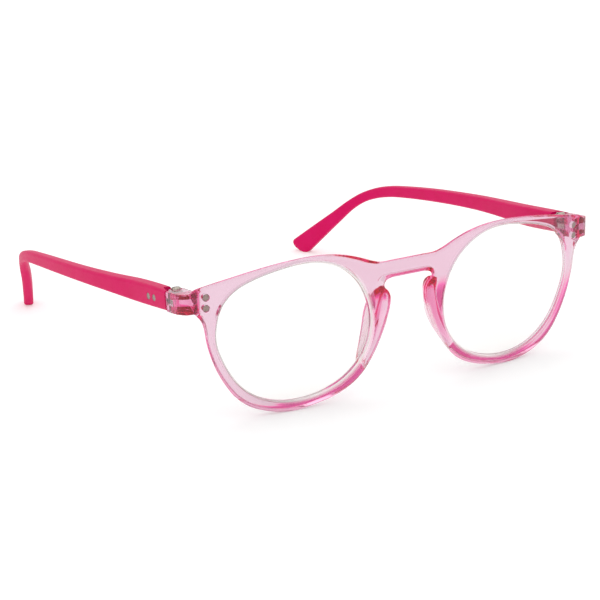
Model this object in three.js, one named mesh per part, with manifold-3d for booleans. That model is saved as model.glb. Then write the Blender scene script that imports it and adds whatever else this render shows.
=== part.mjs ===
// Light-filter glasses: a clear moulded front with a keyhole bridge, two lenses, and two solid temples that fold
// on screwed hinges. Millimetres. +X is the wearer's left, +Y runs from the lenses to the temple tips, +Z is up.
// Everything is first built level with the lenses, then the whole frame tips forward onto its rims and tips.

import * as THREE from 'three';
import { mergeVertices } from 'three/addons/utils/BufferGeometryUtils.js';
import { TessellateModifier } from 'three/addons/modifiers/TessellateModifier.js';
import Module from 'manifold-3d';

const wasm = await Module();
wasm.setup();

// ---------------------------------------------------------------- driving dimensions

const GAP = 0.3;                 // room kept between two pieces that touch on the real glasses
const WRAP = 0.00143;            // the front bows back by WRAP * x * x
const WRAP_EDGE = 9;             // longest edge left on a bowed face
const PLATE_THICK = 2.7;         // front to back through a rim
const RIM_EDGE = 0.45;           // rounding where the rim's front face meets its sides
const BACK_INSET = 1.0;          // how far the outer side leans in towards the back, everywhere
const SIDE_INSET = 0.85;         // and how much further it does so where it faces sideways
const OPENING_BEVEL = 0.8;       // bevel where the front face meets a lens opening

const LENS_THICK = 1.2;
const LENS_BITE = 0.65;          // how far the lens edge reaches into the rim groove
const LENS_FRONT = 0.9;          // depth of the lens front face behind the rim's front face

const TEMPLE_SLOPE = THREE.MathUtils.degToRad(8);
const HINGE = new THREE.Vector3(67.35, 16.8, 11.2);   // middle of the left hinge, on the screw axis
const KNUCKLE_RADIUS = 2.35;
const HINGE_HALF = 3.0;          // half the height of the knuckle stack
const SLOT_HALF = 1.0;           // half the height of the slot for the tongue
const SLOT_AHEAD = 3.8;          // how far the slot runs ahead of the screw axis
const SLOT_BEHIND = 6;           // and past it, out of the end block
const SLOT_WALL = 1.1;           // plastic left outside the slot
const JOINT_BACK = -0.2;         // rear face of the end block, measured along the temple from the screw axis
const SIDE_X = 71.1;             // outer side face of the end block and the temple beside it
const BLOCK_CORNER = 4.2;        // radius in plan where the end block turns from the front to the side
const BLOCK_CORNER_Y = 10.8;     // where that turn ends
const CUT_REACH = 12;            // more than any cutter needs, each way from the hinge

const SCREW_RADIUS = 0.65;
const SCREW_HEAD_RADIUS = 1.35;
const SCREW_HEAD_SEAT = 2.6;     // height of the counterbore floor above the middle of the hinge
const SCREW_HEAD_HIGH = 0.75;
const SCREW_TAPER = 0.15;        // the screw's end narrows by this
const SCREW_HEAD_EDGE = 0.35;    // bevel round the head
const SCREW_DRIVE_WIDE = 0.45;   // slot across the screw head
const SCREW_DRIVE_DEEP = 0.35;

const EYE_RADIUS = 1.95;
const TONGUE_THICK = 1.0;
const TONGUE_X = 68.4;           // middle of the tongue's plate, inside the temple
const TONGUE_HALF = 1.9;         // half the height of the plate
const TONGUE_START = 21.6;       // where the plate starts and ends along the temple
const TONGUE_END = 30.0;
const TONGUE_CORNER = 1.0;       // its rear corners are cut this much
const ARM_INNER = -0.9;          // the arm from the eye to the plate, about the screw axis
const ARM_START = 0.6;
const ARM_BEND = [2.2, 4.2];     // its inner side steps out to the plate between these
const ARM_END = 6.4;

const FRONT_PIN_RADIUS = 1.05;
const FRONT_PIN_DEEP = 2.0;
const PIN_MOUTH = 1;             // how far a pin's hole is cut past the surface
const FRONT_PINS = { upper: [64.0, 14.2], lower: [64.0, 11.0] };

const TEMPLE_PIN_RADIUS = 1.0;
const TEMPLE_PINS = { front: [23.9, 10.35], rear: [27.4, 9.85] };

const STAND_TILT = THREE.MathUtils.degToRad(2.9);     // the frame leans forward this much when it stands
const STAND_PLANE = -23.72;       // height, after leaning, of the surface that it stands on
const STAND_CENTRE_Y = 77.4;      // middle of its depth, after leaning

// ---------------------------------------------------------------- helpers

function solid(geometry) {
  const bare = geometry.clone();
  for (const name of Object.keys(bare.attributes)) {
    if (name !== 'position') bare.deleteAttribute(name);
  }
  const merged = mergeVertices(bare, 1e-4);
  return new wasm.Manifold(new wasm.Mesh({
    numProp: 3,
    vertProperties: new Float32Array(merged.attributes.position.array),
    triVerts: new Uint32Array(merged.index.array),
  }));
}

function geometryOf(body) {
  const mesh = body.getMesh();
  const geometry = new THREE.BufferGeometry();
  geometry.setAttribute('position', new THREE.BufferAttribute(new Float32Array(mesh.vertProperties), 3));
  geometry.setIndex(new THREE.BufferAttribute(new Uint32Array(mesh.triVerts), 1));
  geometry.computeVertexNormals();
  return geometry;
}

function mirrored(geometry) {
  const copy = geometry.index ? geometry.clone() : mergeVertices(geometry);
  copy.scale(-1, 1, 1);
  const index = copy.index.array;
  for (let i = 0; i < index.length; i += 3) {
    [index[i], index[i + 1]] = [index[i + 1], index[i]];
  }
  return copy;
}

// Flat outlines are drawn as seen from the front: their x is X and their y is Z.
// A flat plate runs from yFront back to yBack.
function frontPlate(outline, yFront, yBack) {
  const geometry = new THREE.ExtrudeGeometry(new THREE.Shape(outline), { depth: yBack - yFront, bevelEnabled: false });
  geometry.rotateX(Math.PI / 2);
  geometry.translate(0, yBack, 0);
  return geometry;
}

// Bows a flat plate back towards the temples, after splitting long edges so that its faces follow the curve.
function wrapped(flat) {
  const geometry = new TessellateModifier(WRAP_EDGE, 8).modify(flat.index ? flat.toNonIndexed() : flat);
  const place = geometry.attributes.position;
  for (let i = 0; i < place.count; i++) {
    place.setY(i, place.getY(i) + WRAP * place.getX(i) ** 2);
  }
  return geometry;
}

// A shape drawn as seen from above, made thick from zLow to zHigh.
function planPrism(shape, zLow, zHigh) {
  const geometry = new THREE.ExtrudeGeometry(shape, { depth: zHigh - zLow, bevelEnabled: false, curveSegments: 10 });
  geometry.translate(0, 0, zLow);
  return geometry;
}

// A shape drawn as seen from the left side, shape x being Y and shape y being Z, made thick from xLow to xHigh.
function sidePrism(shape, xLow, xHigh) {
  const geometry = new THREE.ExtrudeGeometry(shape, { depth: xHigh - xLow, bevelEnabled: false, curveSegments: 6 });
  geometry.applyMatrix4(new THREE.Matrix4().set(0, 0, 1, 0, 1, 0, 0, 0, 0, 1, 0, 0, 0, 0, 0, 1));
  geometry.translate(xLow, 0, 0);
  return geometry;
}

// Parts of the hinge are drawn about its middle with the screw upright, then leaned back with the temple.
function atHinge(geometry) {
  geometry.rotateX(-TEMPLE_SLOPE);
  geometry.translate(HINGE.x, HINGE.y, HINGE.z);
  return geometry;
}

function upright(radius, low, high, segments = 20) {
  const geometry = new THREE.CylinderGeometry(radius, radius, high - low, segments);
  geometry.rotateX(Math.PI / 2);
  geometry.translate(0, 0, (low + high) / 2);
  return geometry;
}

function closedSpline(points, pointsEach) {
  const curve = new THREE.CatmullRomCurve3(points.map(([x, y]) => new THREE.Vector3(x, y, 0)), true, 'centripetal');
  const count = points.length * pointsEach;
  return Array.from({ length: count }, (_, i) => {
    const at = curve.getPoint(i / count);
    return new THREE.Vector2(at.x, at.y);
  });
}

// A closed skin over rings of equal length, each ring turning anticlockwise about the direction of travel.
function loft(rings) {
  const around = rings[0].length;
  const points = rings.flat();
  const index = [];
  for (let r = 0; r + 1 < rings.length; r++) {
    for (let i = 0; i < around; i++) {
      const a = r * around + i;
      const b = r * around + (i + 1) % around;
      index.push(a, b, b + around, a, b + around, a + around);
    }
  }
  for (const [ring, base, flip] of [[rings[0], 0, true], [rings.at(-1), points.length - around, false]]) {
    const middle = points.push(ring.reduce((sum, p) => sum.add(p), new THREE.Vector3()).divideScalar(around)) - 1;
    for (let i = 0; i < around; i++) {
      const a = base + i;
      const b = base + (i + 1) % around;
      index.push(...(flip ? [b, a, middle] : [a, b, middle]));
    }
  }
  const geometry = new THREE.BufferGeometry().setFromPoints(points);
  geometry.setIndex(index);
  return geometry;
}

// Smooth change of several values along a list of stations, the first value of each being the position.
function stationReader(stations) {
  const curves = stations[0].slice(1).map((_, column) =>
    new THREE.CatmullRomCurve3(stations.map((s) => new THREE.Vector3(s[0], s[column + 1], 0)), false, 'centripetal'));
  return (t) => curves.map((curve) => curve.getPoint(t).y);
}

// ---------------------------------------------------------------- front: outlines

// Left half of the outer outline, from the middle of the bridge's top edge round to its underside.
const OUTER_HALF = [
  [0, 16.8], [5, 16.8], [9, 16.8], [12, 17.6], [16, 19.2], [21, 20.8], [27, 21.8], [33, 22.0], [40, 21.6],
  [48, 20.6], [57, 19.0], [64.5, 17.5], [67.2, 16.8], [68.5, 15.8], [69.0, 14.4], [69.0, 12.2],
  [68.6, 11.0], [67.6, 9.7], [66.2, 8.1], [65.1, 6.2], [64.6, 4.0], [64.1, 0.6], [63.0, -3.6], [61.2, -8.4],
  [58.5, -13.4], [55.5, -17.4], [51.5, -20.6], [46.5, -22.7], [41, -23.85], [35.5, -23.9], [30, -23.0],
  [25, -21.8], [20.6, -20.0], [17.2, -17.8], [14.2, -14.8], [11.6, -11.0], [9.4, -6.8], [7.8, -3.0],
  [6.7, 0.4], [6.0, 3.6], [6.0, 6.0], [6.9, 7.8], [7.9, 8.8], [8.1, 9.7], [7.5, 10.6], [6.0, 11.1], [3.2, 11.2],
];

const OPENING_CENTRE_X = 35.3;

// Left lens opening as seen from the front, about its own centre.
const OPENING = [
  [25.4, 0.0], [25.2, 5.6], [23.6, 10.6], [19.8, 14.6], [14.0, 17.2], [7.0, 18.9], [0, 19.8], [-7.0, 19.2],
  [-13.4, 16.4], [-18.2, 12.0], [-21.2, 6.4], [-22.5, 0.0], [-21.6, -6.6], [-18.6, -12.2], [-14.0, -16.4],
  [-7.4, -19.4], [0, -20.7], [7.2, -20.2], [13.6, -17.8], [18.8, -13.6], [22.6, -7.8],
];

function outerOutline() {
  const other = OUTER_HALF.slice(1).reverse().map(([x, z]) => [-x, z]);
  return closedSpline([...OUTER_HALF, ...other], 2);
}

function openingOutline(grow = 0) {
  const points = closedSpline(OPENING, 2).map((p) => new THREE.Vector2(p.x + OPENING_CENTRE_X, p.y));
  return moved(points, outwardNormals(points), points.map(() => grow));
}

const flipX = (points) => points.map((p) => new THREE.Vector2(-p.x, p.y)).reverse();

// ---------------------------------------------------------------- front: solids

// Outward normals of a closed outline that turns anticlockwise.
function outwardNormals(points) {
  return points.map((_, i) => {
    const before = points[(i + points.length - 1) % points.length];
    const after = points[(i + 1) % points.length];
    const along = after.clone().sub(before).normalize();
    return new THREE.Vector2(along.y, -along.x);
  });
}

function moved(points, normals, distances) {
  return points.map((p, i) => p.clone().addScaledVector(normals[i], distances[i]));
}

// Depths through a rim: shares of its edge rounding, of its lean towards the back, and of the openings' bevel.
const RIM_LEVELS = [
  { y: 0, edge: 1, back: 0, bevel: 1 }, { y: 0.13, edge: 0.3, back: 0, bevel: 0.84 },
  { y: 0.45, edge: 0, back: 0, bevel: 0.44 }, { y: OPENING_BEVEL, edge: 0, back: 0.15, bevel: 0 },
  { y: 1.5, edge: 0, back: 0.4, bevel: 0 }, { y: 2.3, edge: 0, back: 0.85, bevel: 0 },
  { y: PLATE_THICK, edge: 1, back: 1, bevel: 0.4 },
];

// Both rims and the bridge in one body. At each depth the outer side and the openings step in from the outlines.
function rims() {
  const outer = outerOutline().reverse();
  const outerNormals = outwardNormals(outer);
  const lean = outerNormals.map((n) => BACK_INSET + SIDE_INSET * Math.abs(n.x));
  const openings = [openingOutline(), flipX(openingOutline())];
  const loops = RIM_LEVELS.map(({ y, edge, back, bevel }) => {
    const side = moved(outer, outerNormals, lean.map((d) => -(edge * RIM_EDGE + back * d)));
    const mouth = bevel * OPENING_BEVEL;
    const holes = openings.map((hole) => moved(hole, outwardNormals(hole), hole.map(() => mouth)));
    return { y, all: [side, ...holes] };
  });
  const count = loops[0].all.flat().length;
  const points = loops.flatMap(({ y, all }) => all.flat().map((p) => new THREE.Vector3(p.x, y, p.y)));
  const index = [];
  for (let level = 0; level + 1 < loops.length; level++) {
    let start = level * count;
    loops[level].all.forEach((loop, which) => {
      for (let i = 0; i < loop.length; i++) {
        const a = start + i;
        const b = start + (i + 1) % loop.length;
        const quad = [a, a + count, b + count, a, b + count, b];
        index.push(...(which === 0 ? quad : quad.reverse()));
      }
      start += loop.length;
    });
  }
  for (const [level, flip] of [[0, false], [loops.length - 1, true]]) {
    const [side, ...holes] = loops[level].all;
    for (const face of THREE.ShapeUtils.triangulateShape(side, holes)) {
      const corners = face.map((i) => i + level * count);
      index.push(...(flip ? corners.reverse() : corners));
    }
  }
  const geometry = new THREE.BufferGeometry().setFromPoints(points);
  geometry.setIndex(index);
  return solid(wrapped(geometry));
}

function lensGroove() {
  return wrapped(frontPlate(openingOutline(LENS_BITE + GAP), LENS_FRONT - GAP, LENS_FRONT + LENS_THICK + GAP));
}

// Nose pads: height, x of the crest that meets the nose, x and y of the pad's rear edge.
const PAD_STATIONS = [
  [-15.0, 15.4, 17.2, 2.6], [-12.0, 12.7, 16.1, 4.7], [-8.0, 10.2, 14.1, 6.4], [-4.0, 8.4, 12.7, 7.3],
  [0.0, 7.0, 12.0, 7.4], [3.5, 6.3, 11.3, 6.8], [6.5, 6.6, 10.6, 5.4], [8.8, 8.2, 10.0, 2.7],
];
const PAD_CREST_Y = 1.9;
const PAD_THICK = 2.5;
const PAD_ROOT = 3.6;            // from the crest to where the pad's outer side meets the rim
const PAD_STEPS = 14;

function nosePad() {
  const read = stationReader(PAD_STATIONS);
  const last = PAD_STATIONS.length - 1;
  const low = PAD_STATIONS[0][0];
  const high = PAD_STATIONS[last][0];
  const heights = new THREE.CatmullRomCurve3(
    PAD_STATIONS.map((s, i) => new THREE.Vector3(i, s[0], 0)), false, 'centripetal');
  const rings = [];
  for (let i = 0; i <= PAD_STEPS; i++) {
    const [crestX, rearX, rearY] = read(i / PAD_STEPS);
    const z = THREE.MathUtils.clamp(heights.getPoint(i / PAD_STEPS).y, low, high);
    const rootX = crestX + PAD_ROOT;
    const ring = closedSpline([
      [crestX + 1.2, 0.9], [crestX, PAD_CREST_Y], [crestX + 0.35 * (rearX - crestX) - 0.2, 0.5 * (PAD_CREST_Y + rearY)],
      [rearX - PAD_THICK, rearY - 0.4], [rearX - 0.5 * PAD_THICK, rearY], [rearX, rearY - 0.5],
      [rootX + 0.4, PAD_CREST_Y + 0.25 * (rearY - PAD_CREST_Y)], [rootX, 1.2],
    ], 1);
    rings.push(ring.map((p) => new THREE.Vector3(p.x, p.y, z)).reverse());
  }
  return loft(rings);
}

// End block behind the outer corner: its plan shape, cut by its side shape.
function endBlock() {
  const rear = HINGE.y + HINGE_HALF;
  const innerX = HINGE.x - KNUCKLE_RADIUS;
  const plan = new THREE.Shape();
  plan.moveTo(64.2, 6.4);
  plan.lineTo(67.0, 6.9);
  plan.absarc(SIDE_X - BLOCK_CORNER, BLOCK_CORNER_Y, BLOCK_CORNER, THREE.MathUtils.degToRad(-78), 0, false);
  plan.lineTo(SIDE_X, rear);
  plan.lineTo(innerX, rear);
  plan.lineTo(innerX, 10.6);
  plan.quadraticCurveTo(innerX, 9.0, 63.6, 8.4);
  const half = HINGE_HALF / Math.cos(TEMPLE_SLOPE);
  const level = (y, up) => HINGE.z + up * half - Math.tan(TEMPLE_SLOPE) * (y - HINGE.y);
  const [nose, chin, back] = [4, 9, 22];
  const side = new THREE.Shape();
  side.moveTo(nose, level(chin, -1) + 0.5);
  side.lineTo(chin, level(chin, -1) + 0.1);
  side.lineTo(back, level(back, -1));
  side.lineTo(back, level(back, 1));
  side.lineTo(chin - 1, level(chin - 1, 1));
  side.lineTo(nose, level(chin - 1, 1) + 0.3);
  const tall = solid(planPrism(plan, 0, 2 * CUT_REACH));
  let block = tall.intersect(solid(sidePrism(side, HINGE.x - CUT_REACH, HINGE.x + CUT_REACH)));
  const behind = new THREE.BoxGeometry(2 * CUT_REACH, CUT_REACH, 2 * CUT_REACH);
  behind.translate(0, JOINT_BACK + CUT_REACH / 2, 0);
  block = block.subtract(solid(atHinge(behind)));
  return block.add(solid(atHinge(upright(KNUCKLE_RADIUS, -HINGE_HALF, HINGE_HALF, 28))));
}

function tongueSlot() {
  const outer = SIDE_X - SLOT_WALL - HINGE.x;
  const plan = new THREE.Shape();
  plan.moveTo(-CUT_REACH, -SLOT_AHEAD);
  plan.lineTo(outer, -SLOT_AHEAD);
  plan.lineTo(outer, SLOT_BEHIND);
  plan.lineTo(-CUT_REACH, SLOT_BEHIND);
  return atHinge(planPrism(plan, -SLOT_HALF, SLOT_HALF));
}

function frontPinAt([x, z], radius, depth) {
  const pin = new THREE.CylinderGeometry(radius, radius, depth, 18);
  pin.translate(0, -depth / 2, 0);
  pin.rotateX(Math.PI);
  pin.rotateZ(Math.atan(2 * WRAP * x));
  pin.translate(x, WRAP * x * x, z);
  return pin;
}

function frontFrame() {
  let front = rims();
  for (const side of [(g) => g, mirrored]) {
    let end = solid(side(geometryOf(endBlock())));
    end = end.subtract(solid(side(tongueSlot())));
    front = front.add(end).add(solid(side(nosePad())));
    front = front.subtract(solid(side(lensGroove())));
    front = front.subtract(solid(side(atHinge(upright(SCREW_RADIUS + GAP, -CUT_REACH, CUT_REACH)))));
    front = front.subtract(solid(side(atHinge(upright(SCREW_HEAD_RADIUS + GAP, SCREW_HEAD_SEAT, CUT_REACH)))));
    for (const at of Object.values(FRONT_PINS)) {
      const hole = frontPinAt(at, FRONT_PIN_RADIUS + GAP, FRONT_PIN_DEEP + GAP + PIN_MOUTH);
      hole.translate(0, -PIN_MOUTH, 0);
      front = front.subtract(solid(side(hole)));
    }
  }
  return onStandingPlane(front);
}

// ---------------------------------------------------------------- lenses, temples and hinge metal

function lens() {
  return wrapped(frontPlate(openingOutline(LENS_BITE), LENS_FRONT, LENS_FRONT + LENS_THICK));
}

// Temple: y, x, z of the centreline, then height and thickness across it.
const TEMPLE_STATIONS = [
  [17.0, 68.9, 11.35, 5.95, 4.4], [22, 68.9, 10.7, 6.15, 4.4], [30, 68.9, 9.6, 6.25, 4.4],
  [38, 69.15, 8.55, 6.1, 4.35], [50, 70.2, 7.15, 5.3, 4.2], [64, 71.0, 5.45, 4.7, 4.0],
  [78, 71.0, 3.55, 4.35, 3.8], [92, 70.4, 1.5, 4.15, 3.6], [105, 69.4, -0.65, 3.9, 3.4],
  [114.5, 68.3, -2.5, 3.75, 3.2], [121.5, 67.0, -4.55, 3.6, 3.1], [127.5, 65.2, -7.3, 3.4, 3.0],
  [132.5, 63.0, -11.0, 3.5, 3.0], [138, 60.0, -16.6, 4.35, 3.1], [144.4, 56.9, -22.9, 5.6, 3.2],
  [150.8, 54.0, -29.1, 6.8, 3.2],
];
const TEMPLE_STEPS = 32;
const TEMPLE_EDGE = 1.0;
const TIP_ROUND = 2.4;
const TIP_SKEW = 0.35;           // the rear corner of each tip reaches further than its front corner

function templeSection(height, thickness, segments = 3) {
  const points = [];
  const radius = Math.min(TEMPLE_EDGE, thickness * 0.42, height * 0.42);
  for (const [sx, sz, start] of [[1, 1, 0], [-1, 1, 90], [-1, -1, 180], [1, -1, 270]]) {
    for (let i = 0; i <= segments; i++) {
      const angle = THREE.MathUtils.degToRad(start + 90 * i / segments);
      points.push([sx * (thickness / 2 - radius) + radius * Math.cos(angle),
        sz * (height / 2 - radius) + radius * Math.sin(angle)]);
    }
  }
  return points;
}

function templeBar() {
  const line = new THREE.CatmullRomCurve3(
    TEMPLE_STATIONS.map(([y, x, z]) => new THREE.Vector3(x, y, z)), false, 'centripetal');
  const sizes = new THREE.CatmullRomCurve3(
    TEMPLE_STATIONS.map(([y, , , high, thick]) => new THREE.Vector3(high, y, thick)), false, 'centripetal');
  const up = new THREE.Vector3(0, 0, 1);
  const stations = [];
  for (let i = 0; i <= TEMPLE_STEPS; i++) stations.push([i / TEMPLE_STEPS, 1, 0]);
  for (const turn of [25, 45, 62, 76, 86]) {
    const angle = THREE.MathUtils.degToRad(turn);
    stations.push([1, Math.cos(angle), TIP_ROUND * Math.sin(angle)]);
  }
  const rings = stations.map(([t, shrink, beyond]) => {
    const along = line.getTangent(t);
    const middle = line.getPoint(t).addScaledVector(along, beyond);
    const size = sizes.getPoint(t);
    const across = along.clone().cross(up).normalize();
    const tall = across.clone().cross(along);
    const high = size.x * (0.5 + 0.5 * shrink) * Math.sqrt(shrink);
    const skew = TIP_SKEW * Math.max(0, (t - 0.9) / 0.1);
    return templeSection(high, size.z * Math.sqrt(shrink)).map(([a, b]) =>
      middle.clone().addScaledVector(across, a).addScaledVector(tall, b).addScaledVector(along, skew * b)).reverse();
  });
  return loft(rings);
}

// Pocket that clears the knuckles, drawn from above about the hinge.
const POCKET_PLAN = [
  [-CUT_REACH, -4], [2.95, -4], [2.8, 1.2], [1.9, 4.1], [-1.4, 4.5], [-CUT_REACH, 4.5],
];

function templePocket() {
  const plan = new THREE.Shape(POCKET_PLAN.map(([x, y]) => new THREE.Vector2(x, y)));
  return atHinge(planPrism(plan, -CUT_REACH, CUT_REACH));
}

function tonguePlate(grow) {
  const half = TONGUE_HALF + grow;
  const start = TONGUE_START - grow - HINGE.y;
  const end = TONGUE_END + grow - HINGE.y;
  const shape = new THREE.Shape();
  shape.moveTo(start, -half);
  shape.lineTo(end - TONGUE_CORNER, -half);
  shape.lineTo(end, TONGUE_CORNER - half);
  shape.lineTo(end, half - TONGUE_CORNER);
  shape.lineTo(end - TONGUE_CORNER, half);
  shape.lineTo(start, half);
  const x = TONGUE_X - HINGE.x;
  return atHinge(sidePrism(shape, x - TONGUE_THICK / 2 - grow, x + TONGUE_THICK / 2 + grow));
}

function tongueArm(grow) {
  const middle = TONGUE_X - HINGE.x;
  const reach = TONGUE_THICK / 2 + grow;
  const inner = ARM_INNER - grow;
  const plan = new THREE.Shape([
    [inner, ARM_START], [middle + reach, ARM_START], [middle + reach, ARM_END],
    [middle - reach, ARM_END], [middle - reach, ARM_BEND[1]], [inner, ARM_BEND[0]],
  ].map(([a, b]) => new THREE.Vector2(a, b)));
  return atHinge(planPrism(plan, -SLOT_HALF + GAP - grow, SLOT_HALF - GAP + grow));
}

function templePinAt([y, z], radius, inner, outer) {
  const pin = new THREE.CylinderGeometry(radius, radius, outer - inner, 18);
  pin.rotateZ(Math.PI / 2);
  pin.translate((inner + outer) / 2, y, z);
  return pin;
}

function temple() {
  let bar = solid(templeBar());
  bar = bar.subtract(solid(templePocket()));
  bar = bar.subtract(solid(tonguePlate(GAP))).subtract(solid(tongueArm(GAP)));
  for (const at of Object.values(TEMPLE_PINS)) {
    bar = bar.subtract(solid(templePinAt(at, TEMPLE_PIN_RADIUS + GAP, TONGUE_X, SIDE_X + PIN_MOUTH)));
  }
  return onStandingPlane(bar);
}

function tongue() {
  let metal = solid(atHinge(upright(EYE_RADIUS, -SLOT_HALF + GAP, SLOT_HALF - GAP, 28)));
  metal = metal.add(solid(tongueArm(0))).add(solid(tonguePlate(0)));
  metal = metal.subtract(solid(atHinge(upright(SCREW_RADIUS + GAP, -CUT_REACH, CUT_REACH))));
  for (const at of Object.values(TEMPLE_PINS)) {
    const hole = templePinAt(at, TEMPLE_PIN_RADIUS + GAP, TONGUE_X - CUT_REACH, TONGUE_X + CUT_REACH);
    metal = metal.subtract(solid(hole));
  }
  return geometryOf(metal);
}

function screw() {
  const headLow = SCREW_HEAD_SEAT + GAP;
  const headTop = headLow + SCREW_HEAD_HIGH;
  const end = -HINGE_HALF + 0.1;
  const profile = [
    [0, end], [SCREW_RADIUS - SCREW_TAPER, end], [SCREW_RADIUS, end + SCREW_TAPER],
    [SCREW_RADIUS, headLow], [SCREW_HEAD_RADIUS, headLow], [SCREW_HEAD_RADIUS, headTop - SCREW_HEAD_EDGE],
    [SCREW_HEAD_RADIUS - SCREW_HEAD_EDGE, headTop], [0, headTop],
  ].map(([r, h]) => new THREE.Vector2(r, h));
  const body = new THREE.LatheGeometry(profile, 24);
  body.rotateX(Math.PI / 2);
  const slot = new THREE.BoxGeometry(CUT_REACH, SCREW_DRIVE_WIDE, 2 * SCREW_DRIVE_DEEP);
  slot.translate(0, 0, headTop);
  return atHinge(geometryOf(solid(body).subtract(solid(slot))));
}

// ---------------------------------------------------------------- standing pose

// Trims the last tenth of a millimetre off what touches the table, which leaves small flats there.
function onStandingPlane(body) {
  const slab = new THREE.BoxGeometry(400, 400, 40);
  slab.translate(0, 0, STAND_PLANE - 20);
  slab.rotateX(-STAND_TILT);
  return geometryOf(body.subtract(solid(slab)));
}

// ---------------------------------------------------------------- assembly

const clearPink = () => new THREE.MeshStandardMaterial({ color: 0xe9a8cf, roughness: 0.12, metalness: 0 });
const raspberry = () => new THREE.MeshStandardMaterial({ color: 0xd3175a, roughness: 0.5, metalness: 0 });
const lensClear = () => new THREE.MeshStandardMaterial({ color: 0xf4f1e6, roughness: 0.05, metalness: 0 });
const steel = () => new THREE.MeshStandardMaterial({ color: 0xb5b0ab, roughness: 0.35, metalness: 1 });

const glasses = new THREE.Group();
glasses.rotation.x = STAND_TILT;
glasses.position.set(0, -STAND_CENTRE_Y, -STAND_PLANE);

function put(name, geometry, material) {
  const mesh = new THREE.Mesh(geometry, material);
  mesh.name = name;
  glasses.add(mesh);
}

put('front_frame', frontFrame(), clearPink());
for (const [side, turned] of [['left', (g) => g], ['right', mirrored]]) {
  put(`lens_${side}`, turned(lens()), lensClear());
  put(`temple_${side}`, turned(temple()), raspberry());
  put(`hinge_tongue_${side}`, turned(tongue()), steel());
  put(`hinge_screw_${side}`, turned(screw()), steel());
  for (const [place, at] of Object.entries(FRONT_PINS)) {
    put(`front_pin_${side}_${place}`, turned(frontPinAt(at, FRONT_PIN_RADIUS, FRONT_PIN_DEEP)), steel());
  }
  for (const [place, at] of Object.entries(TEMPLE_PINS)) {
    const inner = TONGUE_X - TONGUE_THICK / 2;
    put(`temple_pin_${side}_${place}`, turned(templePinAt(at, TEMPLE_PIN_RADIUS, inner, SIDE_X)), steel());
  }
}

export default glasses;
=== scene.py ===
"""Light-filter glasses: a clear pink moulded front, two lenses, and raspberry temples on screwed hinges.

Shapes are drawn in millimetres, level with the lenses: +X is the wearer's left, +Y runs back to the temple
tips, +Z is up. stood() then leans them onto the table and turns them into metres.
"""

import math

import bmesh
import bpy
import numpy as np
from mathutils import Matrix, Vector
from mathutils.kdtree import KDTree


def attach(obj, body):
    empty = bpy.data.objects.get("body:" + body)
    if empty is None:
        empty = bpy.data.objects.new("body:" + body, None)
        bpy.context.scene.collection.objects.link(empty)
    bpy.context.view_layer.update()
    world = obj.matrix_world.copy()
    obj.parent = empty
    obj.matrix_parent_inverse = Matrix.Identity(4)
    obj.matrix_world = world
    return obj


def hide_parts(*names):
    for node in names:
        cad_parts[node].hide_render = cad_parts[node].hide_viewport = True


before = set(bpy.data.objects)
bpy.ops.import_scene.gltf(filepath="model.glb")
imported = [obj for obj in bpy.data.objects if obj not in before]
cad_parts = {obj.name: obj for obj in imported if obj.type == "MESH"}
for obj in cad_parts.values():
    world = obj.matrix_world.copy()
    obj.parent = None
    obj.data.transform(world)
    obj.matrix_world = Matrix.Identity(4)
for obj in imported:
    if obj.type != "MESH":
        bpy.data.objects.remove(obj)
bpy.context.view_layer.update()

MM = 0.001

# ---------------------------------------------------------------- driving dimensions, mm

STAND_TILT = math.radians(2.9)
STAND_SHIFT = np.array([0.0, -77.4, 23.72])

# The front is drawn flat, then bowed back by WRAP * x * x. Depths run back from its front face.
WRAP = 0.00143
PLATE_THICK = 2.7
FRONT_ROUND = (1.3, 0.85)       # rounding of the front face into the outer side: along the face, in depth
ROUND_FULLNESS = 1.0            # 1 is a quarter of an ellipse, 2 a straight bevel
OPENING_BEVEL = (1.05, 0.8)     # bevel of the front face into a lens opening: along the face, in depth
BEVEL_FULLNESS = 1.6
RIM_EDGE = 0.35                 # rounding of the edges at the back
BACK_INSET = 1.0                # how far the outer side leans in towards the back, everywhere
SIDE_INSET = 0.85               # and how much further where it faces sideways
LEAN_BEND = 1.25

OPENING_CENTRE_X = 35.3
LENS_THICK = 1.2
LENS_FRONT = 0.9                # depth of the lens's front face
LENS_BITE = 0.65                # how far the lens edge reaches into its groove
LENS_CHAMFER = 0.1
LENS_MIDDLE = 0.02              # size of a lens's innermost ring, as a share of its outline
FIT = 0.04                      # room between pieces that touch

PAD_CREST_Y = 1.9
PAD_THICK = 2.5
PAD_ROOT = 3.6                  # how far a nose pad's section reaches from its crest into the rim

TEMPLE_SLOPE = math.radians(8)
HINGE = np.array([67.35, 16.8, 11.2])
KNUCKLE_RADIUS = 2.35
HINGE_HALF = 3.0                # half the height of the knuckle and of the end block
JOINT_BACK = -0.2               # y of the end block's rear face, from the screw axis
SIDE_X = 71.1                   # outer side face of the end block and of the temple beside it
BLOCK_CORNER = 4.2              # radius in plan where the end block turns from the front to the side
BLOCK_CORNER_Y = 10.8           # where that turn ends
BLOCK_CORNER_FROM = -78         # and the direction in degrees where it starts
BLOCK_FRONT = [(64.2, 6.4), (67.0, 6.9)]        # its front in plan, within the rim
BLOCK_FILLET_Y = (10.6, 9.0)    # where its inner fillet starts and where that bends
BLOCK_FILLET_END = (63.6, 8.4)
SLOT_HALF = 1.0
SLOT_AHEAD = 3.8                # how far the slot runs ahead of the screw axis
SLOT_BEHIND = 6.0
SLOT_INWARD = 7.35
SLOT_WALL = 1.1                 # what the slot leaves of the end block's outer side

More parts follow.
